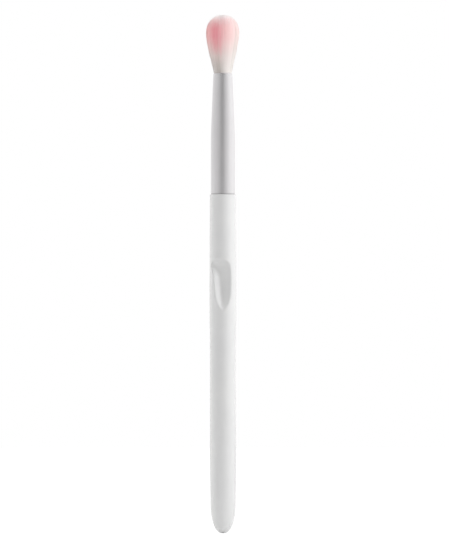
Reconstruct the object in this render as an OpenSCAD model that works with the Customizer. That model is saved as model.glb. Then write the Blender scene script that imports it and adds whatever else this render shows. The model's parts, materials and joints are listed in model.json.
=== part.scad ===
// Eyeshadow brush: a glossy moulded handle with a finger scoop, a drawn
// aluminium ferrule and a flared, domed tuft of hair.
// The tuft points up along Z, the scoop faces -Y, and the origin is the middle
// of the straight barrel, where a holder grips. All lengths are millimetres.

/* [Handle] */
// Diameter of the straight barrel, where a holder grips
barrel_d = 8.5; // [8:0.1:12]
// Length of the straight barrel
barrel_length = 41; // [20:1:60]
// Diameter where the rounded tail meets the tail's taper
tail_d = 8.12; // [6:0.02:8.5]
// Length of the rounded tail
tail_round_length = 11; // [6:0.5:20]
// Length of the taper from the rounded tail to the barrel
tail_taper_length = 14; // [5:0.5:30]
// Length from the barrel to the shoulder that the ferrule seats on
neck_length = 43.7; // [40:0.1:70]
// Height of the faint swell round the scoop, over the barrel's surface
swell_height = 0.13; // [0.05:0.01:0.4]
// Edge radius of the shoulder
shoulder_round = 0.22; // [0.1:0.02:0.3]

/* [Finger scoop] */
// Depth of the hollow below the handle's crest
scoop_depth = 2.2; // [1:0.1:3]
// Radius of the hollow across the handle
scoop_radius = 8.9; // [6:0.1:20]
// Distance of the deepest point below the shoulder
scoop_drop = 25.7; // [15:0.1:28]
// Length of the short, steep end, from the deepest point up
scoop_rise_length = 5.8; // [4:0.1:10]
// Length of the long, shallow end, from the deepest point down
scoop_run_length = 12.2; // [6:0.1:14]
// Lean of the hollow's upper end towards the left, in degrees
scoop_lean = 3.5; // [0:0.5:6]
// Offset of the hollow to the left of the handle's axis
scoop_offset = 0.2; // [0:0.05:0.6]

/* [Ferrule] */
// Outer diameter of the straight part, at the handle
ferrule_d = 7.8; // [7:0.1:8.2]
// Length from the handle's shoulder to the mouth
ferrule_length = 39.2; // [34:0.1:50]
// Length of the straight part, before the ferrule narrows
ferrule_straight_length = 19.3; // [14:0.1:22]
// Outer diameter of the mouth that holds the hair
mouth_d = 6.16; // [5:0.02:7]
// Thickness of the drawn sheet
ferrule_wall = 0.3; // [0.2:0.05:0.5]
// Chamfer on the ferrule's outer edges
ferrule_edge = 0.1; // [0.05:0.01:0.15]

/* [Tenon and glue] */
// Distance that the handle's tenon stops short of the ferrule's narrowing
tenon_setback = 3.3; // [1:0.1:6]
// Chamfer on the tenon's end
tenon_chamfer = 0.6; // [0.2:0.1:1]
// Thickness of the glue film round the tenon
glue_film = 0.1; // [0.05:0.01:0.2]
// Bare length of the tenon at each end of the glue film
glue_margin = 1; // [0.5:0.1:3]
// Length of the hair roots that are set in resin
root_length = 10; // [5:0.5:12]
// Clearance between round faces that fit in one another
fit_clearance = 0.01; // [0.005:0.005:0.03]

/* [Tuft] */
// Length of the hair that shows above the mouth
tuft_length = 19.1; // [16:0.1:26]
// Largest diameter of the tuft
belly_d = 10.7; // [9:0.1:14]
// Height of the largest diameter above the mouth
belly_height = 12.9; // [10:0.1:15]
// Diameter of the flared flank, between the mouth and the belly
flank_d = 8.8; // [7.5:0.1:9]
// Height of that flank above the mouth
flank_height = 6.9; // [4:0.1:9]
// Number of strands
strand_count = 400; // [300:10:500]
// Scatter of the tips, up and down
tip_scatter = 0.25; // [0:0.05:0.5]
// Bare ring on the slice, from the outer strands to the ferrule's bore
root_margin = 0.3; // [0.25:0.05:0.5]
// Depth of the slice's upper face below the mouth
slice_depth = 0.4; // [0.2:0.1:1]
// Thickness of the slice that backs the strands
slice_thickness = 1.2; // [0.8:0.1:2]
// Depth that the strands run down into the slice
root_sink = 0.5; // [0.3:0.1:0.7]

/* [Hidden] */
$fn = 96;

barrel_r = barrel_d / 2;
tail_r = tail_d / 2;
crest_r = barrel_r + swell_height;
barrel_top = barrel_length / 2;
barrel_foot = -barrel_top;
taper_foot = barrel_foot - tail_taper_length;
tail_tip = taper_foot - tail_round_length;
shoulder_z = barrel_top + neck_length;
bend_z = shoulder_z + ferrule_straight_length;
mouth_z = shoulder_z + ferrule_length;

ferrule_r = ferrule_d / 2;
mouth_r = mouth_d / 2;
bore_r = ferrule_r - ferrule_wall;
mouth_bore_r = mouth_r - ferrule_wall;
tenon_r = bore_r - glue_film - 2 * fit_clearance;
tenon_top = bend_z - tenon_setback;

slice_top = mouth_z - slice_depth;
slice_foot = slice_top - slice_thickness;
resin_foot = slice_foot - root_length;
belly_r = belly_d / 2;
dome_height = tuft_length - belly_height - tip_scatter;

// Curves: how square the tail and the dome are (2 is an ellipse), and steps
tail_power = 2.25;
tail_steps = 10;
dome_power = 2.3;
swell_steps = 8;
round_steps = 3;
scoop_steps = 7;
// Place of the swell's crest along the neck
swell_peak_share = 0.21;
swell_power = ln(0.5) / ln(swell_peak_share);
// How far the scoop's cutter runs on past the handle's surface
scoop_overrun_share = 1.15;

// Strands stand on a sunflower pattern that widens level by level, so that
// none crosses another
strand_sides = 3;
golden_angle = 180 * (3 - sqrt(5));
strand_fill_share = 0.8;
scatter_seed = 7;
tip_scatters = rands(-tip_scatter, tip_scatter, strand_count, scatter_seed);
// The tips draw in a little from the belly
tip_reach_share = 0.95;
// A strand is thickest part of the way from the belly's level to its tip
thick_drop_share = 0.19;
thick_rise_share = 0.55;
// The tuft's outer radius, height and share of each strand's own rise, ring by ring
strand_levels = [
    [mouth_bore_r - root_margin, slice_top - root_sink, 0],
    [flank_d / 2, mouth_z + flank_height, 0],
    [belly_r, mouth_z + belly_height - thick_drop_share * dome_height,
     thick_rise_share]
];
points_per_strand = strand_sides * len(strand_levels) + 1;

// Rounded tail, from its tip to the taper
function tail_outline() = [
    for (step = [0:tail_steps])
        let (angle = 90 * step / tail_steps)
        [tail_r * pow(sin(angle), 2 / tail_power),
         tail_tip + tail_round_length * (1 - pow(cos(angle), 2 / tail_power))]
];

// Faint swell of the neck, between the barrel and the shoulder
function swell_outline() = [
    for (step = [1:swell_steps - 1])
        let (share = step / swell_steps)
        [barrel_r + swell_height * sin(180 * pow(share, swell_power)),
         barrel_top + (neck_length - shoulder_round) * share]
];

// Quarter round on the shoulder's edge
function shoulder_outline() = [
    for (step = [0:round_steps])
        let (angle = 90 * step / round_steps)
        [barrel_r - shoulder_round * (1 - cos(angle)),
         shoulder_z - shoulder_round * (1 - sin(angle))]
];

// Side of the scoop's cutter: a spindle that just touches the crest at each end
function scoop_outline() = [
    for (step = [-scoop_steps:scoop_steps])
        let (share = scoop_overrun_share * step / scoop_steps)
        [scoop_radius - scoop_depth * share * share,
         share * (share < 0 ? scoop_run_length : scoop_rise_length)]
];

// Share of the tuft's radius at which a strand stands
function place_share(strand) = sqrt((strand + 0.5) / strand_count);

// Radius of a strand's section where the tuft is as wide as reach
function strand_r(reach) = strand_fill_share / 2 * reach * sqrt(PI / strand_count);

// Height of the dome over the belly's level, above a strand's tip
function tip_rise(strand) =
    dome_height * pow(1 - pow(tip_reach_share * place_share(strand), dome_power), 1 / dome_power);

// One ring of a strand, with a flat side turned outwards
function ring_points(strand, reach, height) =
    let (turn = strand * golden_angle,
         section_r = strand_r(reach),
         centre = (reach - section_r / 2) * place_share(strand))
    [for (side = [0:strand_sides - 1])
        let (corner = turn + 180 + side * 360 / strand_sides)
        [centre * cos(turn) + section_r * cos(corner),
         centre * sin(turn) + section_r * sin(corner),
         height]];

// Tip of a strand, on the dome
function tip_point(strand) =
    let (turn = strand * golden_angle,
         centre = tip_reach_share * belly_r * place_share(strand))
    [centre * cos(turn), centre * sin(turn),
     mouth_z + belly_height + tip_rise(strand) + tip_scatters[strand]];

function strand_points(strand) = concat(
    [for (level = strand_levels)
        each ring_points(strand, level[0], level[1] + level[2] * tip_rise(strand))],
    [tip_point(strand)]);

// Triangles of a strand: its foot, its walls and its tip
function strand_faces(strand) =
    let (first = strand * points_per_strand,
         tip = first + points_per_strand - 1,
         last_ring = tip - strand_sides,
         sides = [0:strand_sides - 1])
    concat(
        [[for (side = sides) first + side]],
        [for (ring = [first:strand_sides:last_ring - 1], side = sides)
            let (here = ring + side, next = ring + (side + 1) % strand_sides)
            each [[here, here + strand_sides, next],
                  [next, here + strand_sides, next + strand_sides]]],
        [for (side = sides)
            [last_ring + side, tip, last_ring + (side + 1) % strand_sides]]);

// Hollow that a finger rests in
module scoop_cutter() {
    translate([-scoop_offset, scoop_depth - crest_r - scoop_radius, shoulder_z - scoop_drop])
        rotate([0, -scoop_lean, 0])
            rotate_extrude()
                polygon(concat(
                    [[0, -scoop_overrun_share * scoop_run_length]],
                    scoop_outline(),
                    [[0, scoop_overrun_share * scoop_rise_length]]));
}

module handle() {
    color("white")
        difference() {
            rotate_extrude()
                polygon(concat(
                    tail_outline(),
                    [[barrel_r, barrel_foot], [barrel_r, barrel_top]],
                    swell_outline(),
                    shoulder_outline(),
                    [[tenon_r, shoulder_z],
                     [tenon_r, tenon_top - tenon_chamfer],
                     [tenon_r - tenon_chamfer, tenon_top],
                     [0, tenon_top]]));
            scoop_cutter();
        }
}

// Film that holds the ferrule on the tenon
module tenon_glue() {
    color("khaki")
        rotate_extrude()
            translate([tenon_r + fit_clearance, shoulder_z + glue_margin])
                square([glue_film, tenon_top - tenon_chamfer - shoulder_z - 2 * glue_margin]);
}

module ferrule() {
    color("silver")
        rotate_extrude()
            polygon([
                [bore_r, shoulder_z],
                [ferrule_r - ferrule_edge, shoulder_z],
                [ferrule_r, shoulder_z + ferrule_edge],
                [ferrule_r, bend_z],
                [mouth_r, mouth_z - ferrule_edge],
                [mouth_r - ferrule_edge, mouth_z],
                [mouth_bore_r, mouth_z],
                [bore_r, bend_z]]);
}

// What fits the ferrule's bore between two heights
module bore_fill(foot, top) {
    intersection() {
        rotate_extrude()
            polygon([
                [0, shoulder_z],
                [bore_r - fit_clearance, shoulder_z],
                [bore_r - fit_clearance, bend_z],
                [mouth_bore_r - fit_clearance, mouth_z],
                [0, mouth_z]]);
        translate([0, 0, foot])
            cylinder(r = ferrule_r, h = top - foot);
    }
}

// Hair roots set in hard resin, below the slice
module root_resin() {
    color("burlywood")
        bore_fill(resin_foot, slice_foot);
}

// Strands on a slice of their backing
module hair_tuft() {
    color("pink")
        union() {
            bore_fill(slice_foot, slice_top);
            polyhedron(
                points = [for (strand = [0:strand_count - 1]) each strand_points(strand)],
                faces = [for (strand = [0:strand_count - 1]) each strand_faces(strand)]);
        }
}

handle();
tenon_glue();
ferrule();
root_resin();
hair_tuft();
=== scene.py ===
# Eyeshadow brush: white gloss handle, satin ferrule and pink hair, dressed over the model
import json
import math
import random

import bmesh
import bpy
from mathutils import Matrix, Vector, kdtree


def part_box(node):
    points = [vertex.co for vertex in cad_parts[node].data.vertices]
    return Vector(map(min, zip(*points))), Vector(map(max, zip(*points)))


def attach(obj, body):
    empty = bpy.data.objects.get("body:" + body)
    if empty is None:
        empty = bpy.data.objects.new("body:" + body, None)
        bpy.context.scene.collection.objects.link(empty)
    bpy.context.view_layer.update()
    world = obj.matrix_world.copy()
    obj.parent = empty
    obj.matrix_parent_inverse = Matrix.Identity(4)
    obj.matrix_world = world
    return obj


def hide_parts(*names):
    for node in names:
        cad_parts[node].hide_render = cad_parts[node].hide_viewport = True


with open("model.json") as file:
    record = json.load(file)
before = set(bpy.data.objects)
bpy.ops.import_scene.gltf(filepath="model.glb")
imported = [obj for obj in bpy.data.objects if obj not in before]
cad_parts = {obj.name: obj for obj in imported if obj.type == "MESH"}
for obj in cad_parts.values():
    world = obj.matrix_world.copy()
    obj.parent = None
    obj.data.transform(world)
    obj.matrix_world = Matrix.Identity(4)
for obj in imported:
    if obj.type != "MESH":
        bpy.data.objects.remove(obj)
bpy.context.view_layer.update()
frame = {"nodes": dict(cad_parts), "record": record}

# heights along the brush and radii about it, all read from the model
handleLow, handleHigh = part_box("handle")
ferruleLow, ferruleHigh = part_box("ferrule")
tuftLow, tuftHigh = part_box("hair_tuft")
barrelMount = frame["record"]["mounts"][0]["dims"]
barrelRadius = barrelMount["r_mm"] / 1000
barrelTop = barrelMount["length_mm"] / 2000
tailTip = handleLow.z
shoulder = ferruleLow.z
mouth = ferruleHigh.z
hairTop = tuftHigh.z
hairSpan = hairTop - mouth
mergeDistance = 1e-7


def addNode(tree, kind, place, **properties):
    node = tree.nodes.new(kind)
    node.location = place
    for name, value in properties.items():
        setattr(node, name, value)
    return node


def feed(tree, value, socket):
    # a socket takes either another node's output or a plain value
    if isinstance(value, bpy.types.NodeSocket):
        tree.links.new(value, socket)
    else:
        socket.default_value = value


def startMaterial(name, color):
    # a fresh material with one shader, and the object's own coordinates
    material = bpy.data.materials.new(name)
    material.use_nodes = True
    material.diffuse_color = (*color, 1)
    tree = material.node_tree
    tree.nodes.clear()
    output = addNode(tree, "ShaderNodeOutputMaterial", (600, 0))
    shader = addNode(tree, "ShaderNodeBsdfPrincipled", (300, 0))
    shader.inputs["Base Color"].default_value = (*color, 1)
    tree.links.new(shader.outputs[0], output.inputs["Surface"])
    coordinates = addNode(tree, "ShaderNodeTexCoord", (-1100, 0))
    return material, tree, shader, coordinates.outputs["Object"]


def addNoise(tree, vector, place, size, detail, stretch=(1, 1, 1)):
    # noise whose blobs are about size metres across, longer along a small stretch
    mapping = addNode(tree, "ShaderNodeMapping", (place[0] - 200, place[1]))
    mapping.inputs["Scale"].default_value = stretch
    noise = addNode(tree, "ShaderNodeTexNoise", place)
    noise.inputs["Scale"].default_value = 1 / size
    noise.inputs["Detail"].default_value = detail
    tree.links.new(vector, mapping.inputs["Vector"])
    tree.links.new(mapping.outputs[0], noise.inputs["Vector"])
    return noise.outputs["Fac"]


def addRange(tree, value, place, low, high, newLow, newHigh):
    # low becomes newLow, high becomes newHigh, and what lies between them follows
    remap = addNode(tree, "ShaderNodeMapRange", place)
    limits = {"From Min": low, "From Max": high, "To Min": newLow, "To Max": newHigh}
    for name, number in limits.items():
        remap.inputs[name].default_value = number
    tree.links.new(value, remap.inputs["Value"])
    return remap.outputs[0]


def addRamp(tree, value, place, stops):
    ramp = addNode(tree, "ShaderNodeValToRGB", place)
    elements = ramp.color_ramp.elements
    for index, (position, color) in enumerate(stops):
        # a new ramp has two stops already
        stop = elements[index] if index < 2 else elements.new(position)
        stop.position = position
        stop.color = (*color, 1)
    tree.links.new(value, ramp.inputs["Fac"])
    return ramp.outputs["Color"]


def addMath(tree, operation, place, first, second):
    node = addNode(tree, "ShaderNodeMath", place, operation=operation)
    feed(tree, first, node.inputs[0])
    feed(tree, second, node.inputs[1])
    return node.outputs[0]


def mixColors(tree, place, amount, first, second, blend="MIX"):
    # the node's colours are its sockets 6 and 7, and the mixed colour its output 2
    mix = addNode(tree, "ShaderNodeMix", place, data_type="RGBA", blend_type=blend)
    feed(tree, amount, mix.inputs[0])
    feed(tree, first, mix.inputs[6])
    feed(tree, second, mix.inputs[7])
    return mix.outputs[2]


def mixShaders(tree, place, amount, first, second):
    mix = addNode(tree, "ShaderNodeMixShader", place)
    feed(tree, amount, mix.inputs[0])
    tree.links.new(first.outputs[0], mix.inputs[1])
    tree.links.new(second.outputs[0], mix.inputs[2])
    return mix


def addBump(tree, height, shader, place, distance, strength):
    bump = addNode(tree, "ShaderNodeBump", place)
    bump.inputs["Distance"].default_value = distance
    bump.inputs["Strength"].default_value = strength
    tree.links.new(height, bump.inputs["Height"])
    tree.links.new(bump.outputs[0], shader.inputs["Normal"])


def orderFaces(bm):
    # spin and extrude leave the faces in any order, so they are put in that of their corners
    bm.verts.index_update()
    count = len(bm.verts)

    def rank(face):
        corners = sorted(vert.index for vert in face.verts)
        return (corners[0] * count + corners[1]) * count + corners[-1]

    bm.faces.sort(key=rank)


def spinOutline(bm, outline, segments):
    # turns a list of (radius, height) points into a closed skin about the brush's axis
    corners = [bm.verts.new((radius, 0, height)) for radius, height in outline]
    edges = [bm.edges.new(pair) for pair in zip(corners, corners[1:])]
    bmesh.ops.spin(bm, geom=corners + edges, cent=(0, 0, 0), axis=(0, 0, 1),
                   angle=math.tau, steps=segments, use_merge=True)
    bmesh.ops.remove_doubles(bm, verts=bm.verts, dist=mergeDistance)
    bmesh.ops.recalc_face_normals(bm, faces=bm.faces)
    orderFaces(bm)


def softenFaces(bm, creaseAngle):
    # smooth shading, with a crease where two faces meet at more than the angle
    for face in bm.faces:
        face.smooth = True
    for edge in bm.edges:
        if edge.is_manifold and edge.calc_face_angle(0) > math.radians(creaseAngle):
            edge.smooth = False


def finishPiece(bm, name, material, slot, *nodes):
    mesh = bpy.data.meshes.new(name)
    bm.to_mesh(mesh)
    bm.free()
    piece = bpy.data.objects.new(name, mesh)
    bpy.context.scene.collection.objects.link(piece)
    mesh.materials.append(material)
    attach(piece, "root")
    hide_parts(*nodes)
    return piece


# Handle: one white moulding with a soft-edged finger scoop and a tenon
handleSettings = {
    "segments": 240,
    "creaseAngle": 35,
    "tailRadius": 0.00406,
    "tailLength": 0.011,
    "tailPower": 2.4,         # 2 is an ellipse, more is squarer
    "tailSteps": 26,
    "barrelRows": 8,
    "swell": 0.00013,
    "swellPeak": 0.21,        # place of the crest along the neck
    "shoulderRound": 0.00022,
    "shoulderSteps": 5,
    "tenonRadius": 0.00348,
    "tenonChamfer": 0.0006,
    "scoopDepth": 0.0022,
    "scoopDrop": 0.0257,      # deepest point below the shoulder
    "scoopUpper": (0.0049, 3.5),  # length and bluntness of the short end, upwards
    "scoopLower": (0.0121, 3.6),  # the same of the long end, downwards
    "scoopLean": 4.5,
    "scoopOffset": 0.0012,    # of the valley, to the left
    "scoopLeftWall": 32,      # slopes of the two walls in degrees
    "scoopRightWall": 19,
    "scoopHook": 0.0044,      # how far the valley turns to the left, upwards
    "scoopHookStart": 0.001,  # how far below the deepest point it starts to turn
    "scoopHookPower": 1.5,    # 1 turns evenly, more turns late
    "scoopValley": 0.0005,    # softness of the valley
    "scoopBlend": 0.0003,     # softness of the scoop's edge
    "scoopRow": 0.0002,
    "scoopReach": 1.4,        # how far up and down to look for it, in lengths of its long end
    "scoopInmost": 0.3,       # least share of its radius to which the skin is drawn in
    "scoopTries": 24,
    "scoopPasses": 3,         # of smoothing, so the edges don't ripple where they cross the rows
    "scoopSmoothing": 0.5,
    "color": (0.80, 0.80, 0.80),
    "tints": [(0.3, (0.785, 0.785, 0.785)), (0.7, (0.815, 0.815, 0.81))],
    # noises: size, detail and stretch
    "cloud": (0.012, 3),
    "scuffs": (0.0004, 4, (1, 1, 0.12)),
    "touch": (0.005, 3),
    "ripple": (0.0016, 2),
    # two levels of a noise, and what they become
    "scuffRoughness": (0.35, 0.75, 0.13, 0.21),
    "touchDulling": (0.4, 0.7, 1, 1.35),
    "rippleBump": (0.00002, 0.15),  # distance and strength
    "coatWeight": 0.3,
    "coatRoughness": 0.06,
}


def handleOutline(settings):
    # points up the side, from the tail's tip to the tenon's end
    points = []
    tailSteps = settings["tailSteps"]
    squareness = 2 / settings["tailPower"]
    for step in range(tailSteps + 1):
        angle = math.pi / 2 * step / tailSteps
        radius = settings["tailRadius"] * math.sin(angle) ** squareness
        rise = settings["tailLength"] * (1 - abs(math.cos(angle)) ** squareness)
        points.append((radius, tailTip + rise))
    barrelRows = settings["barrelRows"]
    for row in range(barrelRows):
        points.append((barrelRadius, -barrelTop + 2 * barrelTop * row / (barrelRows - 1)))
    shoulderRound = settings["shoulderRound"]
    neckLength = shoulder - shoulderRound - barrelTop
    neckRows = round(neckLength / settings["scoopRow"])
    swellPower = math.log(0.5) / math.log(settings["swellPeak"])
    for row in range(1, neckRows):
        share = row / neckRows
        swell = settings["swell"] * math.sin(math.pi * share ** swellPower)
        points.append((barrelRadius + swell, barrelTop + neckLength * share))
    shoulderSteps = settings["shoulderSteps"]
    for step in range(shoulderSteps + 1):
        angle = math.pi / 2 * step / shoulderSteps
        points.append((barrelRadius - shoulderRound * (1 - math.cos(angle)),
                       shoulder - shoulderRound * (1 - math.sin(angle))))
    tenonTop = handleHigh.z
    points += [
        (settings["tenonRadius"], shoulder),
        (settings["tenonRadius"], tenonTop - settings["tenonChamfer"]),
        (settings["tenonRadius"] - settings["tenonChamfer"], tenonTop),
        (0, tenonTop),
    ]
    return points


def carveScoop(bm, settings):
    # draws the skin in towards the axis where a leaning scoop of two walls hollows it
    crest = barrelRadius + settings["swell"]
    depth = settings["scoopDepth"]
    centre = Vector((-settings["scoopOffset"], depth - crest, shoulder - settings["scoopDrop"]))
    straighten = Matrix.Rotation(math.radians(settings["scoopLean"]), 3, "Y")
    leftWall = math.radians(settings["scoopLeftWall"])
    rightWall = math.radians(settings["scoopRightWall"])
    valley = settings["scoopValley"]
    blend = settings["scoopBlend"]
    reach = settings["scoopReach"] * settings["scoopLower"][0]

    def depthInScoop(point):
        local = straighten @ (point - centre)
        climbed = max(local.z + settings["scoopHookStart"], 0) / settings["scoopUpper"][0]
        hooked = settings["scoopHook"] * climbed ** settings["scoopHookPower"]
        left = (local.x + hooked) * math.sin(leftWall) - local.y * math.cos(leftWall)
        right = -local.x * math.sin(rightWall) - local.y * math.cos(rightWall)
        shared = max(valley - abs(left - right), 0) / valley
        length, bluntness = settings["scoopUpper"] if local.z > 0 else settings["scoopLower"]
        risen = depth * abs(local.z / length) ** bluntness
        return min(left, right) - shared * shared * valley / 4 - risen

    def depthBlended(point, radius):
        outside = math.hypot(point.x, point.y) - radius
        inScoop = depthInScoop(point)
        overlap = max(blend - abs(outside - inScoop), 0) / blend
        return max(outside, inScoop) + overlap * overlap * blend / 4

    carved = []
    for vert in bm.verts:
        if vert.co.y > 0 or abs(vert.co.z - centre.z) > reach:
            continue
        radius = math.hypot(vert.co.x, vert.co.y)
        # skin that the scoop doesn't reach stays as it is
        if depthInScoop(vert.co) < -2 * blend or depthBlended(vert.co, radius) <= 0:
            continue
        low, high = settings["scoopInmost"], 1.0
        for attempt in range(settings["scoopTries"]):
            middle = (low + high) / 2
            trial = Vector((vert.co.x * middle, vert.co.y * middle, vert.co.z))
            if depthBlended(trial, radius) > 0:
                high = middle
            else:
                low = middle
        vert.co.x *= low
        vert.co.y *= low
        carved.append(vert)
    for smoothing in range(settings["scoopPasses"]):
        bmesh.ops.smooth_vert(bm, verts=carved, factor=settings["scoopSmoothing"],
                              use_axis_x=True, use_axis_y=True)


def whiteGloss(settings):
    # moulded white plastic with a faint ripple, hairline scuffs and a polished skin
    material, tree, shader, coordinates = startMaterial("whiteGloss", settings["color"])
    cloud = addNoise(tree, coordinates, (-700, 200), *settings["cloud"])
    tint = addRamp(tree, cloud, (-400, 200), settings["tints"])
    tree.links.new(tint, shader.inputs["Base Color"])
    scuffs = addNoise(tree, coordinates, (-900, -100), *settings["scuffs"])
    roughness = addRange(tree, scuffs, (-600, -100), *settings["scuffRoughness"])
    # fingers leave broad, slightly dull patches
    touch = addNoise(tree, coordinates, (-900, -700), *settings["touch"])
    dulling = addRange(tree, touch, (-600, -700), *settings["touchDulling"])
    dulledOrSeamShaded = addMath(tree, "MULTIPLY", (-300, -100), roughness, dulling)
    tree.links.new(dulledOrSeamShaded, shader.inputs["Roughness"])
    ripple = addNoise(tree, coordinates, (-700, -400), *settings["ripple"])
    addBump(tree, ripple, shader, (-100, -400), *settings["rippleBump"])
    shader.inputs["Coat Weight"].default_value = settings["coatWeight"]
    shader.inputs["Coat Roughness"].default_value = settings["coatRoughness"]
    return material


bm = bmesh.new()
spinOutline(bm, handleOutline(handleSettings), handleSettings["segments"])
carveScoop(bm, handleSettings)
softenFaces(bm, handleSettings["creaseAngle"])
finishPiece(bm, "white_handle", whiteGloss(handleSettings), "handle_gloss", "handle")
print("Handle moulded")


# Ferrule: drawn aluminium tube with a turned lip at the mouth
ferruleSettings = {
    "segments": 144,
    "creaseAngle": 35,
    "straightLength": 0.0193,
    "bendLength": 0.006,      # over which the straight part eases into the cone
    "bendSteps": 8,
    "mouthRadius": 0.00308,
    "wall": 0.0003,
    "footChamfer": 0.0001,
    "lipSteps": 8,
    "color": (0.87, 0.855, 0.865),
    "tints": [(0.3, (0.845, 0.83, 0.84)), (0.7, (0.895, 0.88, 0.89))],
    # noises: size, detail and stretch
    "lines": (0.00022, 3, (1, 1, 0.012)),
    "grain": (0.00012, 3, (1, 1, 0.03)),
    "grainRoughness": (0.3, 0.7, 0.28, 0.40),  # two levels of the grain, and what they become
    "lineBump": (0.000004, 0.3),  # distance and strength
    # painted shade in the joint: the ferrule's foot is drawn darker just over the shoulder
    "seamShadeColor": (0.50, 0.49, 0.49, 1),
    "seamShadeAmount": 0.75,
    "seamShadeHeights": (0.00012, 0.0005),  # over the shoulder, between which the seam fades
    "rubbedLength": 0.0012,   # of the bright mouth
    "rubbedShare": 0.55,      # of the roughness, left at the mouth
}
ferruleBend = shoulder + ferruleSettings["straightLength"]
narrowing = (ferruleHigh.x - ferruleSettings["mouthRadius"]) / (mouth - ferruleBend)


def ferruleOutline(settings):
    # round the section once: up the outside, over the lip and down the bore
    outer = ferruleHigh.x
    wall = settings["wall"]
    chamfer = settings["footChamfer"]
    bendLength = settings["bendLength"]
    points = [(outer - wall, shoulder), (outer - chamfer, shoulder), (outer, shoulder + chamfer)]
    for step in range(settings["bendSteps"] + 1):
        share = step / settings["bendSteps"]
        points.append((outer - narrowing * bendLength * share * share / 2,
                       ferruleBend + (share - 0.5) * bendLength))
    for step in range(settings["lipSteps"] + 1):
        angle = math.pi * step / settings["lipSteps"]
        points.append((settings["mouthRadius"] - wall / 2 * (1 - math.cos(angle)),
                       mouth - wall / 2 * (1 - math.sin(angle))))
    points += [(outer - wall, ferruleBend), (outer - wall, shoulder)]
    return points


def satinAluminium(settings):
    # fine drawn lines run the length of the tube, the mouth is rubbed bright, and the foot carries
    # painted shade where it meets the handle
    material, tree, shader, coordinates = startMaterial("satinAluminium", settings["color"])
    shader.inputs["Metallic"].default_value = 1.0
    lines = addNoise(tree, coordinates, (-700, 200), *settings["lines"])
    tint = addRamp(tree, lines, (-400, 200), settings["tints"])
    split = addNode(tree, "ShaderNodeSeparateXYZ", (-900, 500))
    tree.links.new(coordinates, split.inputs[0])
    height = split.outputs["Z"]
    # painted shade: the foot is darkened towards the joint with the handle
    seamShadeLow, seamShadeHigh = settings["seamShadeHeights"]
    seamShade = addRange(tree, height, (-400, 500), shoulder + seamShadeLow, shoulder + seamShadeHigh,
                    settings["seamShadeAmount"], 0)
    dulledOrSeamShaded = mixColors(tree, (-100, 300), seamShade, tint, settings["seamShadeColor"])
    tree.links.new(dulledOrSeamShaded, shader.inputs["Base Color"])
    grain = addNoise(tree, coordinates, (-900, -100), *settings["grain"])
    roughness = addRange(tree, grain, (-600, -100), *settings["grainRoughness"])
    rubbed = addRange(tree, height, (-600, -350), mouth - settings["rubbedLength"], mouth,
                      1, settings["rubbedShare"])
    worn = addMath(tree, "MULTIPLY", (-300, -100), roughness, rubbed)
    tree.links.new(worn, shader.inputs["Roughness"])
    addBump(tree, lines, shader, (-100, -400), *settings["lineBump"])
    return material


bm = bmesh.new()
spinOutline(bm, ferruleOutline(ferruleSettings), ferruleSettings["segments"])
softenFaces(bm, ferruleSettings["creaseAngle"])
finishPiece(bm, "aluminium_ferrule", satinAluminium(ferruleSettings), "ferrule_metal", "ferrule")
print("Ferrule drawn")


# Hair backing: the bundled roots, cut level just below the mouth
backingSettings = {
    "segments": 96,
    "creaseAngle": 30,
    "drop": 0.0004,           # of its face below the mouth
    "gap": 0.000012,          # to the bore
    "chamfer": 0.00012,
    "color": (0.80, 0.74, 0.66),
    "rootSpacing": 0.00011,
    "rootEdge": (0.25, 0.6),  # where a root end gives way to resin, in cells of the pattern
    "tints": [(0.1, (0.50, 0.41, 0.28)), (0.7, (0.88, 0.82, 0.76))],  # resin and hair
    "roughness": (0.32, 0.68),  # of resin and of hair
    "rootBump": (0.00002, 0.5),  # distance and strength
}


def backingOutline(settings):
    top = mouth - settings["drop"]
    foot = tuftLow.z
    rim = ferruleSettings["mouthRadius"] - ferruleSettings["wall"] - settings["gap"]
    upperRim = rim + narrowing * settings["drop"]
    lowerRim = rim + narrowing * (mouth - foot)
    chamfer = settings["chamfer"]
    return [(0, foot), (lowerRim - chamfer, foot), (lowerRim, foot + chamfer),
            (upperRim, top - chamfer), (upperRim - chamfer, top), (0, top)]


def packedRoots(settings):
    # pale root ends stand a little proud of the set resin between them
    material, tree, shader, coordinates = startMaterial("packedRoots", settings["color"])
    cells = addNode(tree, "ShaderNodeTexVoronoi", (-700, 0))
    cells.inputs["Scale"].default_value = 1 / settings["rootSpacing"]
    tree.links.new(coordinates, cells.inputs["Vector"])
    dots = addRange(tree, cells.outputs["Distance"], (-500, 0), *settings["rootEdge"], 1, 0)
    tint = addRamp(tree, dots, (-300, 200), settings["tints"])
    tree.links.new(tint, shader.inputs["Base Color"])
    roughness = addRange(tree, dots, (-300, -100), 0, 1, *settings["roughness"])
    tree.links.new(roughness, shader.inputs["Roughness"])
    addBump(tree, dots, shader, (0, -300), *settings["rootBump"])
    return material


bm = bmesh.new()
spinOutline(bm, backingOutline(backingSettings), backingSettings["segments"])
softenFaces(bm, backingSettings["creaseAngle"])
finishPiece(bm, "hair_backing", packedRoots(backingSettings), "hair", "hair_tuft")
print("Hair backing set")


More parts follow.
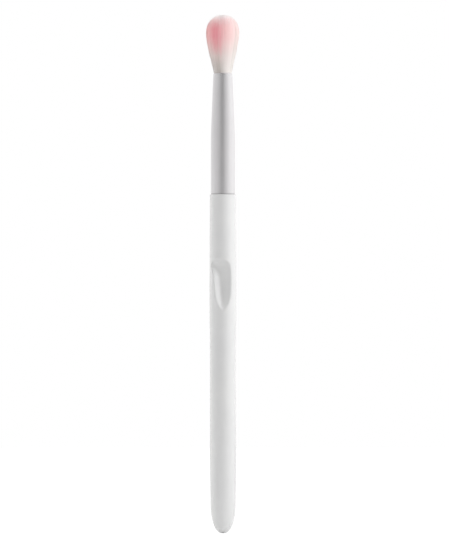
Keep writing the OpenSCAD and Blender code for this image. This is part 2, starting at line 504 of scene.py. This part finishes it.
# Hair: thick inner locks under fine hairs, all flaring from the mouth to a soft dome
hairSettings = {
    "rootDepth": 0.0009,      # roots below the mouth
    "rootRadius": 0.00262,
    "bellyHeight": 0.0130,
    "fullness": 1.02,
    "lean": -0.00005,         # of the belly, sideways
    "flarePower": 1.33,
    "domePower": 2.3,
    "domeEdge": 0.995,        # greatest share of the radius at which a hair meets the dome
    "domeTries": 20,
    "drawIn": 0.3,            # how far the tips lean back to the axis
    "ringPower": 1.8,         # more brings a hair's rings closer together near its tip
    "clumpPower": 1.5,        # more pulls a hair to its lock only near its tip
    "sway": 0.014,
    "twist": 0.3,             # how far a hair is turned either way, in radians
    "tipThinning": 0.97,
    "lockShare": 0.75,        # of a hair's tone, that it has from its lock
    "domeLift": 0.6,          # how much the inner hairs face up
    "sharedLight": (0.9, 0.15),  # how far the hairs shade as one form, at the root and at the tip
    "sideLight": 0.38,        # how far the tips turn to the light on the right
    "strandScale": (20, 300),  # of the streaks, from hair to hair and along each
    "seed": 3,
    "color": (0.95, 0.62, 0.62),
    # colours from the mouth to the top: on the left front, deeper pink and a darker root as painted
    # shade; on the right, paler as painted light; and elsewhere, the hair's own pink
    "shadedPink": [(0.0, (0.70, 0.65, 0.61)), (0.15, (0.78, 0.70, 0.66)), (0.27, (0.92, 0.74, 0.71)),
                 (0.38, (0.97, 0.57, 0.58)), (0.48, (0.97, 0.44, 0.47)), (0.60, (0.97, 0.36, 0.42)),
                 (0.72, (0.97, 0.35, 0.41)), (0.82, (0.97, 0.40, 0.44)), (0.90, (0.97, 0.50, 0.52)),
                 (0.96, (0.97, 0.72, 0.73)), (1.0, (0.97, 0.84, 0.84))],
    "litPink": [(0.0, (0.98, 0.94, 0.91)), (0.27, (0.98, 0.92, 0.89)),
                  (0.48, (0.98, 0.87, 0.84)), (0.72, (0.98, 0.83, 0.81)),
                  (0.90, (0.98, 0.85, 0.84)), (1.0, (0.98, 0.90, 0.89))],
    "palePink": [(0.0, (0.95, 0.90, 0.87)), (0.27, (0.96, 0.85, 0.82)), (0.48, (0.97, 0.74, 0.72)),
                 (0.60, (0.97, 0.66, 0.65)), (0.72, (0.97, 0.64, 0.63)), (0.82, (0.97, 0.63, 0.63)),
                 (0.90, (0.97, 0.69, 0.69)), (0.96, (0.97, 0.84, 0.84)), (1.0, (0.97, 0.89, 0.89))],
    "colorShift": 0.05,       # of a lock's colours up or down, as a share of the hair's height
    # painted shade: the hair is drawn deeper pink, with a darker root, on the side at this turn
    "shadeTurn": -27,         # degrees from the front towards the right
    "shadePower": 9,          # more makes it narrower
    # painted light: the hair is drawn paler on the side at this turn
    "litTurn": 75,
    "litPower": 3,
    "lockTones": [(0.0, (0.72, 0.71, 0.70)), (0.22, (0.93, 0.92, 0.91)), (0.5, (1, 1, 1))],
    "paleEnds": (0.972, 1.0, 0, 0.8),  # two places along a hair, and how pale it is there
    "endColor": (0.90, 0.84, 0.83, 1),
    "streaks": (0.35, 2, (1, 1, 0.25)),  # size, detail and stretch of the noise
    "streakRoughness": (0.3, 0.7, 0.36, 0.52),  # two levels of the noise, and what they become
    "streakBump": (0.00004, 0.3),  # distance and strength
    "shine": 1.6,             # refraction index, for the satin shine of fine fibres
    "translucence": 0.12,     # of the fine hairs
}
lockSettings = {
    "name": "hair_locks",
    "isLock": True,
    "count": 420,
    "ring": (0.0, 0.88),      # inner and outer share of the tuft's radius
    "sides": 6,
    "rings": 12,
    "radius": 0.058,          # share of the tuft's
    "thickness": (0.9, 1.1),  # least and most, in radii
    "flatness": 1,            # 1 is round, less is flatter
    "tipLength": 0.16,        # share of the hair, over which it thins
    "jitter": 0.004,
    "swayShare": 0.4,
    "clumping": 0,            # pull to the nearest lock
    "spread": 0.0007,         # of the tips below the dome, at random
    "drop": 0.0010,           # of all the tips below the dome
}
middleSettings = {
    "name": "hair_middle",
    "isLock": False,
    "count": 4200,
    "ring": (0.0, 0.955),
    "sides": 3,
    "rings": 8,
    "radius": 0.00003,        # in metres
    "thickness": (0.75, 1.15),
    "flatness": 0.4,
    "tipLength": 0.2,
    "jitter": 0.012,
    "swayShare": 1,
    "clumping": 0.2,
    "spread": 0.0003,
    "drop": 0.0,
}
outerSettings = {
    **middleSettings,
    "name": "hair_outer",
    "count": 1400,
    "ring": (0.95, 1.0),
    "clumping": 0.1,
}
goldenAngle = math.pi * (3 - math.sqrt(5))


def sunflower(index, count, inner, outer):
    # even spots on a ring between two radii
    radius = math.sqrt(inner ** 2 + (outer ** 2 - inner ** 2) * (index + 0.5) / count)
    turn = index * goldenAngle
    return Vector((radius * math.cos(turn), radius * math.sin(turn)))


def tuftGuide(rise, settings):
    # how far the outermost hair stands from the axis at a height over the mouth
    root = settings["rootRadius"]
    belly = tuftHigh.x * settings["fullness"]
    if rise <= 0:
        return root
    if rise < settings["bellyHeight"]:
        left = 1 - rise / settings["bellyHeight"]
        return root + (belly - root) * (1 - left ** settings["flarePower"])
    up = (rise - settings["bellyHeight"]) / (hairSpan - settings["bellyHeight"])
    return belly * (1 - settings["drawIn"] * up * up)


def tipHeight(share, settings):
    # height over the mouth at which a hair at this share of the radius meets the dome
    power = settings["domePower"]
    low, high = 0.0, 1.0
    for attempt in range(settings["domeTries"]):
        up = (low + high) / 2
        dome = (1 - up ** power) ** (1 / power)
        if share * (1 - settings["drawIn"] * up * up) < dome:
            low = up
        else:
            high = up
    return settings["bellyHeight"] + low * (hairSpan - settings["bellyHeight"])


def plantLocks(locks, settings):
    # a tree that finds the nearest lock, and the tone of each lock
    chance = random.Random(settings["seed"])
    tree = kdtree.KDTree(locks["count"])
    for index in range(locks["count"]):
        spot = sunflower(index, locks["count"], *locks["ring"])
        tree.insert((spot.x, spot.y, 0), index)
    tree.balance()
    return tree, [chance.random() for index in range(locks["count"])]


def oneHair(sides, rings):
    # a thin straight hair of unit length and unit radius, closed at both ends
    bm = bmesh.new()
    bmesh.ops.create_circle(bm, segments=sides, radius=1, cap_ends=True)
    edges = bm.edges[:]
    for step in range(1, rings):
        grown = bmesh.ops.extrude_edge_only(bm, edges=edges)["geom"]
        ring = [item for item in grown if isinstance(item, bmesh.types.BMVert)]
        edges = [item for item in grown if isinstance(item, bmesh.types.BMEdge)]
        edges = [edge for edge in edges if all(vert in ring for vert in edge.verts)]
        bmesh.ops.translate(bm, verts=ring, vec=(0, 0, 1 / (rings - 1)))
    bmesh.ops.contextual_create(bm, geom=edges)
    bmesh.ops.recalc_face_normals(bm, faces=bm.faces)
    orderFaces(bm)
    mesh = bpy.data.meshes.new("oneHair")
    bm.to_mesh(mesh)
    bm.free()
    return mesh


def shadeTogether(piece, facings):
    # the hairs shade partly together, as one soft form
    cornerFacings = []
    for face in piece.data.polygons:
        for corner in face.vertices:
            facing, ownShare = facings[corner]
            cornerFacings.append((face.normal * ownShare + facing).normalized())
    piece.data.normals_split_custom_set(cornerFacings)


def growHair(layer, settings, lockTree, lockTones, material):
    chance = random.Random(settings["seed"] + layer["count"])
    sides = layer["sides"]
    rootDepth = settings["rootDepth"]
    lockShare = settings["lockShare"]
    rootLight, tipLight = settings["sharedLight"]
    acrossScale, alongScale = settings["strandScale"]
    pattern = oneHair(sides, layer["rings"])
    perHair = len(pattern.vertices)
    bm = bmesh.new()
    along = bm.verts.layers.float.new("along")
    root = bm.verts.layers.float_vector.new("root")
    strand = bm.verts.layers.float_vector.new("strand")
    facings = []
    for index in range(layer["count"]):
        bm.from_mesh(pattern)
    bm.verts.ensure_lookup_table()
    for index in range(layer["count"]):
        spot = sunflower(index, layer["count"], *layer["ring"])
        clump, lockIndex, gap = lockTree.find((spot.x, spot.y, 0))
        spot += Vector((chance.uniform(-1, 1), chance.uniform(-1, 1))) * layer["jitter"]
        sway = Vector((chance.gauss(0, 1), chance.gauss(0, 1))) * settings["sway"]
        sway *= layer["swayShare"]
        top = tipHeight(min(spot.length, settings["domeEdge"]), settings)
        top = top - layer["drop"] - abs(chance.gauss(0, 1)) * layer["spread"]
        # one face of each hair looks outwards, give or take some twist
        turn = math.atan2(spot.y, spot.x) - math.pi / sides
        turn += chance.uniform(-settings["twist"], settings["twist"])
        shade = lockShare * lockTones[lockIndex] + (1 - lockShare) * chance.random()
        thickness = layer["radius"] * chance.uniform(*layer["thickness"])
        lift = settings["domeLift"] * math.sqrt(max(1 - spot.length_squared, 0))
        outward = Vector((spot.x, spot.y, lift))
        outward.normalize()
        broadside = turn + math.pi / sides
        outAcross = Vector((math.cos(broadside), math.sin(broadside), 0))
        for vert in bm.verts[index * perHair:(index + 1) * perHair]:
            part = 1 - max(1 - vert.co.z, 0) ** settings["ringPower"]
            rise = -rootDepth + part * (top + rootDepth)
            guide = tuftGuide(rise, settings)
            pull = layer["clumping"] * part ** settings["clumpPower"]
            centre = (spot.lerp(clump.xy, pull) + sway * math.sin(math.pi * part)) * guide
            climbed = min(max(rise, 0) / hairSpan, 1)
            centre.x += settings["lean"] * math.sin(math.pi * climbed)
            width = thickness * (guide if layer["isLock"] else 1)
            taper = max(part - (1 - layer["tipLength"]), 0) / layer["tipLength"]
            width *= math.sqrt(1 - settings["tipThinning"] * taper * taper)
            # a flattened hair has its broad face outwards
            angle = math.atan2(vert.co.y, vert.co.x)
            aside = Vector((math.cos(angle + turn), math.sin(angle + turn), 0))
            aside -= outAcross * (1 - layer["flatness"]) * aside.dot(outAcross)
            vert.co = (centre.x + width * aside.x, centre.y + width * aside.y, mouth + rise)
            vert[along] = part
            vert[root] = (spot.x, spot.y, shade)
            vert[strand] = (math.cos(angle) + acrossScale * shade, math.sin(angle),
                            rise * alongScale)
            share = rootLight * (1 - part) + tipLight * part
            facing = outward * share + Vector((settings["sideLight"] * part, 0, 0))
            facings.append((facing, 1 - share))
    for face in bm.faces:
        face.smooth = True
    bpy.data.meshes.remove(pattern)
    piece = finishPiece(bm, layer["name"], material, "hair", "hair_tuft")
    shadeTogether(piece, facings)
    # light passes between fine hairs, so they don't darken what lies under them
    piece.visible_shadow = layer["isLock"]
    piece.visible_diffuse = layer["isLock"]


def pinkHair(name, translucence, settings):
    # ivory at the root and pink above, with painted shade making it deeper pink on the left front
    # and painted light making it paler on the right, with fine streaks and pale ends
    material, tree, shader, coordinates = startMaterial(name, settings["color"])
    split = addNode(tree, "ShaderNodeSeparateXYZ", (-1300, 300))
    tree.links.new(coordinates, split.inputs[0])
    rootInput = addNode(tree, "ShaderNodeAttribute", (-1500, 0), attribute_name="root")
    alongInput = addNode(tree, "ShaderNodeAttribute", (-1100, -200), attribute_name="along")
    strandInput = addNode(tree, "ShaderNodeAttribute", (-1100, -400), attribute_name="strand")
    rootSplit = addNode(tree, "ShaderNodeSeparateXYZ", (-1300, 0))
    tree.links.new(rootInput.outputs["Vector"], rootSplit.inputs[0])
    tone = rootSplit.outputs["Z"]
    height = addRange(tree, split.outputs["Z"], (-1100, 300), mouth, hairTop, 0, 1)
    colorShift = settings["colorShift"]
    shift = addRange(tree, tone, (-1100, 100), 0, 1, -colorShift, colorShift)
    shifted = addMath(tree, "ADD", (-900, 250), height, shift)
    shadedPink = addRamp(tree, shifted, (-600, 400), settings["shadedPink"])
    palePink = addRamp(tree, shifted, (-600, 150), settings["palePink"])
    litPink = addRamp(tree, shifted, (-600, 900), settings["litPink"])

    def towards(turn, power, level):
        # 1 on the side of the tuft at this turn, fading to 0 round about
        angle = math.radians(turn)
        side = addNode(tree, "ShaderNodeVectorMath", (-1100, level), operation="DOT_PRODUCT")
        side.inputs[1].default_value = (math.sin(angle), -math.cos(angle), 0)
        tree.links.new(rootInput.outputs["Vector"], side.inputs[0])
        facing = addRange(tree, side.outputs["Value"], (-900, level), 0, 1, 0, 1)
        return addMath(tree, "POWER", (-700, level), facing, power)

    # painted light makes the right side paler, and painted shade makes the left front deeper pink
    # with a darker root
    litSide = towards(settings["litTurn"], settings["litPower"], 900)
    shadedSide = towards(settings["shadeTurn"], settings["shadePower"], 600)
    withPaintedLight = mixColors(tree, (-400, 700), litSide, palePink, litPink)
    withPaintedShade = mixColors(tree, (-300, 350), shadedSide, withPaintedLight, shadedPink)
    # each lock is a little lighter or darker than the next
    lockTone = addRamp(tree, tone, (-600, -100), settings["lockTones"])
    toned = mixColors(tree, (-100, 350), 1, withPaintedShade, lockTone, "MULTIPLY")
    bleached = addRange(tree, alongInput.outputs["Fac"], (-300, -200), *settings["paleEnds"])
    ended = mixColors(tree, (100, 200), bleached, toned, settings["endColor"])
    tree.links.new(ended, shader.inputs["Base Color"])
    streaks = addNoise(tree, strandInput.outputs["Vector"], (-700, -450), *settings["streaks"])
    roughness = addRange(tree, streaks, (-100, -100), *settings["streakRoughness"])
    tree.links.new(roughness, shader.inputs["Roughness"])
    addBump(tree, streaks, shader, (100, -300), *settings["streakBump"])
    shader.inputs["IOR"].default_value = settings["shine"]
    if translucence:
        glow = addNode(tree, "ShaderNodeBsdfTranslucent", (300, 250))
        tree.links.new(ended, glow.inputs["Color"])
        mix = mixShaders(tree, (450, 100), translucence, shader, glow)
        tree.links.new(mix.outputs[0], tree.nodes["Material Output"].inputs["Surface"])
    return material


lockTree, lockTones = plantLocks(lockSettings, hairSettings)
lockHair = pinkHair("pinkLocks", 0, hairSettings)
fineHair = pinkHair("fineHair", hairSettings["translucence"], hairSettings)
growHair(lockSettings, hairSettings, lockTree, lockTones, lockHair)
growHair(middleSettings, hairSettings, lockTree, lockTones, fineHair)
growHair(outerSettings, hairSettings, lockTree, lockTones, fineHair)
print("Hair grown")


# Set resin and glue, hidden in the ferrule
resinSettings = {
    # material, darker and lighter colour, and roughness of each
    "root_resin": ("rootResin", (0.55, 0.44, 0.26), (0.66, 0.56, 0.38), 0.35),
    "tenon_glue": ("tenonGlue", (0.62, 0.57, 0.38), (0.72, 0.68, 0.50), 0.45),
}
resinFinish = {
    "cloud": (0.0012, 4),     # noises: size and detail
    "grain": (0.0003, 3),
    "roughnessSpread": 0.08,
    "grainBump": (0.00003, 0.3),  # distance and strength
}


def setResin(name, darker, lighter, roughness, finish):
    material, tree, shader, coordinates = startMaterial(name, lighter)
    cloud = addNoise(tree, coordinates, (-700, 200), *finish["cloud"])
    tint = addRamp(tree, cloud, (-400, 200), [(0.3, darker), (0.7, lighter)])
    tree.links.new(tint, shader.inputs["Base Color"])
    grain = addNoise(tree, coordinates, (-700, -200), *finish["grain"])
    spread = finish["roughnessSpread"]
    grained = addRange(tree, grain, (-400, -200), 0.3, 0.7, roughness - spread, roughness + spread)
    tree.links.new(grained, shader.inputs["Roughness"])
    addBump(tree, grain, shader, (-100, -400), *finish["grainBump"])
    return material


for node, look in resinSettings.items():
    frame["nodes"][node].material_slots[0].material = setResin(*look, resinFinish)
print("Resin and glue set")


# Studio: pale floor, a white tent with an opening for the camera, and a soft lamp on each side
studioSettings = {
    "floorSize": 1.2,
    "floorRoughness": 0.9,
    "floorColor": 0.92,
    "floorShown": 0.25,       # colour of the floor as the camera sees it
    "floorWhite": (0.80, 0.86),  # white added to that: at the brush, and at the edges
    "floorNear": 0.05,        # distance from the brush at which the added white starts to change
    "worldLevel": 0.45,
    # what polished surfaces see round about: degrees from the camera towards the right, level
    "tent": [(-180, 0.90), (-140, 0.81), (-110, 0.73), (-82, 0.64), (-53, 0.57), (-38, 0.50),
             (-22, 0.38), (-7, 0.29), (7, 0.36), (22, 0.54), (38, 0.66), (53, 0.74), (68, 0.86),
             (82, 0.97), (105, 1.0), (142, 1.0), (180, 0.90)],
    "lamps": [
        # name, degrees from the camera towards the right, distance, height, size, radiance
        ("rightLamp", 70, 0.55, 0.30, (0.60, 0.68), 2.1),
        ("leftLamp", -103, 0.55, 0.30, (0.55, 0.68), 1.75),
    ],
    "lampAim": (0, 0, 0.04),
    "lens": 250,
    "clipEnd": 10,
    "frameTop": 0.1272,       # heights of the photograph's upper and lower edges
    "frameBottom": -0.0507,
    "sideShift": 0.00050,
    "roll": 0.03,
}


def paleFloor(settings):
    bm = bmesh.new()
    bmesh.ops.create_grid(bm, x_segments=1, y_segments=1, size=settings["floorSize"] / 2,
                          matrix=Matrix.Translation((0, 0, tailTip)))
    mesh = bpy.data.meshes.new("floor")
    bm.to_mesh(mesh)
    bm.free()
    floor = bpy.data.objects.new("floor", mesh)
    bpy.context.scene.collection.objects.link(floor)
    floorColor = settings["floorColor"]
    material, tree, shader, coordinates = startMaterial("paleFloor", (floorColor,) * 3)
    shader.inputs["Roughness"].default_value = settings["floorRoughness"]
    # to the camera the floor is just as white as the background, so edges look the same on both
    path = addNode(tree, "ShaderNodeLightPath", (-400, -500))
    seen = path.outputs["Is Camera Ray"]
    colored = addRange(tree, seen, (-100, 0), 0, 1, floorColor, settings["floorShown"])
    tree.links.new(colored, shader.inputs["Base Color"])
    shader.inputs["Emission Color"].default_value = (1, 1, 1, 1)
    away = addNode(tree, "ShaderNodeVectorMath", (-800, -300), operation="LENGTH")
    tree.links.new(coordinates, away.inputs[0])
    added = addRange(tree, away.outputs["Value"], (-400, -300), settings["floorNear"],
                     settings["floorSize"] / 2, *settings["floorWhite"])
    shown = addMath(tree, "MULTIPLY", (-100, -400), added, seen)
    tree.links.new(shown, shader.inputs["Emission Strength"])
    mesh.materials.append(material)


def whiteTent(settings):
    world = bpy.data.worlds.new("studio")
    bpy.context.scene.world = world
    world.use_nodes = True
    tree = world.node_tree
    tree.nodes.clear()
    output = addNode(tree, "ShaderNodeOutputWorld", (900, 0))
    direction = addNode(tree, "ShaderNodeTexCoord", (-900, -200))
    split = addNode(tree, "ShaderNodeSeparateXYZ", (-700, -200))
    tree.links.new(direction.outputs["Generated"], split.inputs[0])
    forward = addRange(tree, split.outputs["Y"], (-500, -300), -1, 1, 1, -1)
    azimuth = addMath(tree, "ARCTAN2", (-300, -200), split.outputs["X"], forward)
    turn = addRange(tree, azimuth, (-100, -200), -math.pi, math.pi, 0, 1)
    stops = [(angle / 360 + 0.5, (level,) * 3) for angle, level in settings["tent"]]
    tent = addRamp(tree, turn, (100, -200), stops)
    # plain light for matt surfaces, the tent in gloss and metal, and white behind it all
    plain, gloss, white = [addNode(tree, "ShaderNodeBackground", (400, 150 - 200 * row))
                           for row in range(3)]
    plain.inputs["Color"].default_value = (1, 1, 1, 1)
    plain.inputs["Strength"].default_value = settings["worldLevel"]
    tree.links.new(tent, gloss.inputs["Color"])
    white.inputs["Color"].default_value = (1, 1, 1, 1)
    path = addNode(tree, "ShaderNodeLightPath", (100, 400))
    seen = addMath(tree, "MAXIMUM", (400, 400), path.outputs["Is Camera Ray"],
                   path.outputs["Is Transmission Ray"])
    lit = mixShaders(tree, (600, 100), path.outputs["Is Glossy Ray"], plain, gloss)
    shown = mixShaders(tree, (750, 0), seen, lit, white)
    tree.links.new(shown.outputs[0], output.inputs["Surface"])


def hangLamps(settings):
    for name, turn, distance, height, size, radiance in settings["lamps"]:
        lamp = bpy.data.lights.new(name, "AREA")
        lamp.shape = "RECTANGLE"
        lamp.size, lamp.size_y = size
        lamp.energy = radiance * math.pi * size[0] * size[1]
        holder = bpy.data.objects.new(name, lamp)
        angle = math.radians(turn)
        holder.location = (distance * math.sin(angle), -distance * math.cos(angle), height)
        aim = Vector(settings["lampAim"]) - Vector(holder.location)
        holder.rotation_euler = aim.to_track_quat("-Z", "Y").to_euler()
        holder.visible_glossy = False
        bpy.context.scene.collection.objects.link(holder)


def placeCamera(settings):
    camera = bpy.data.cameras.new("camera")
    camera.lens = settings["lens"]
    camera.clip_end = settings["clipEnd"]
    height = settings["frameTop"] - settings["frameBottom"]
    distance = height * settings["lens"] / camera.sensor_width
    holder = bpy.data.objects.new("camera", camera)
    holder.location = (settings["sideShift"], -distance, settings["frameBottom"] + height / 2)
    holder.rotation_euler = (math.pi / 2, math.radians(settings["roll"]), 0)
    bpy.context.scene.collection.objects.link(holder)
    bpy.context.scene.camera = holder


paleFloor(studioSettings)
whiteTent(studioSettings)
hangLamps(studioSettings)
placeCamera(studioSettings)
bpy.context.scene.view_settings.view_transform = "Standard"
print("Studio lit")
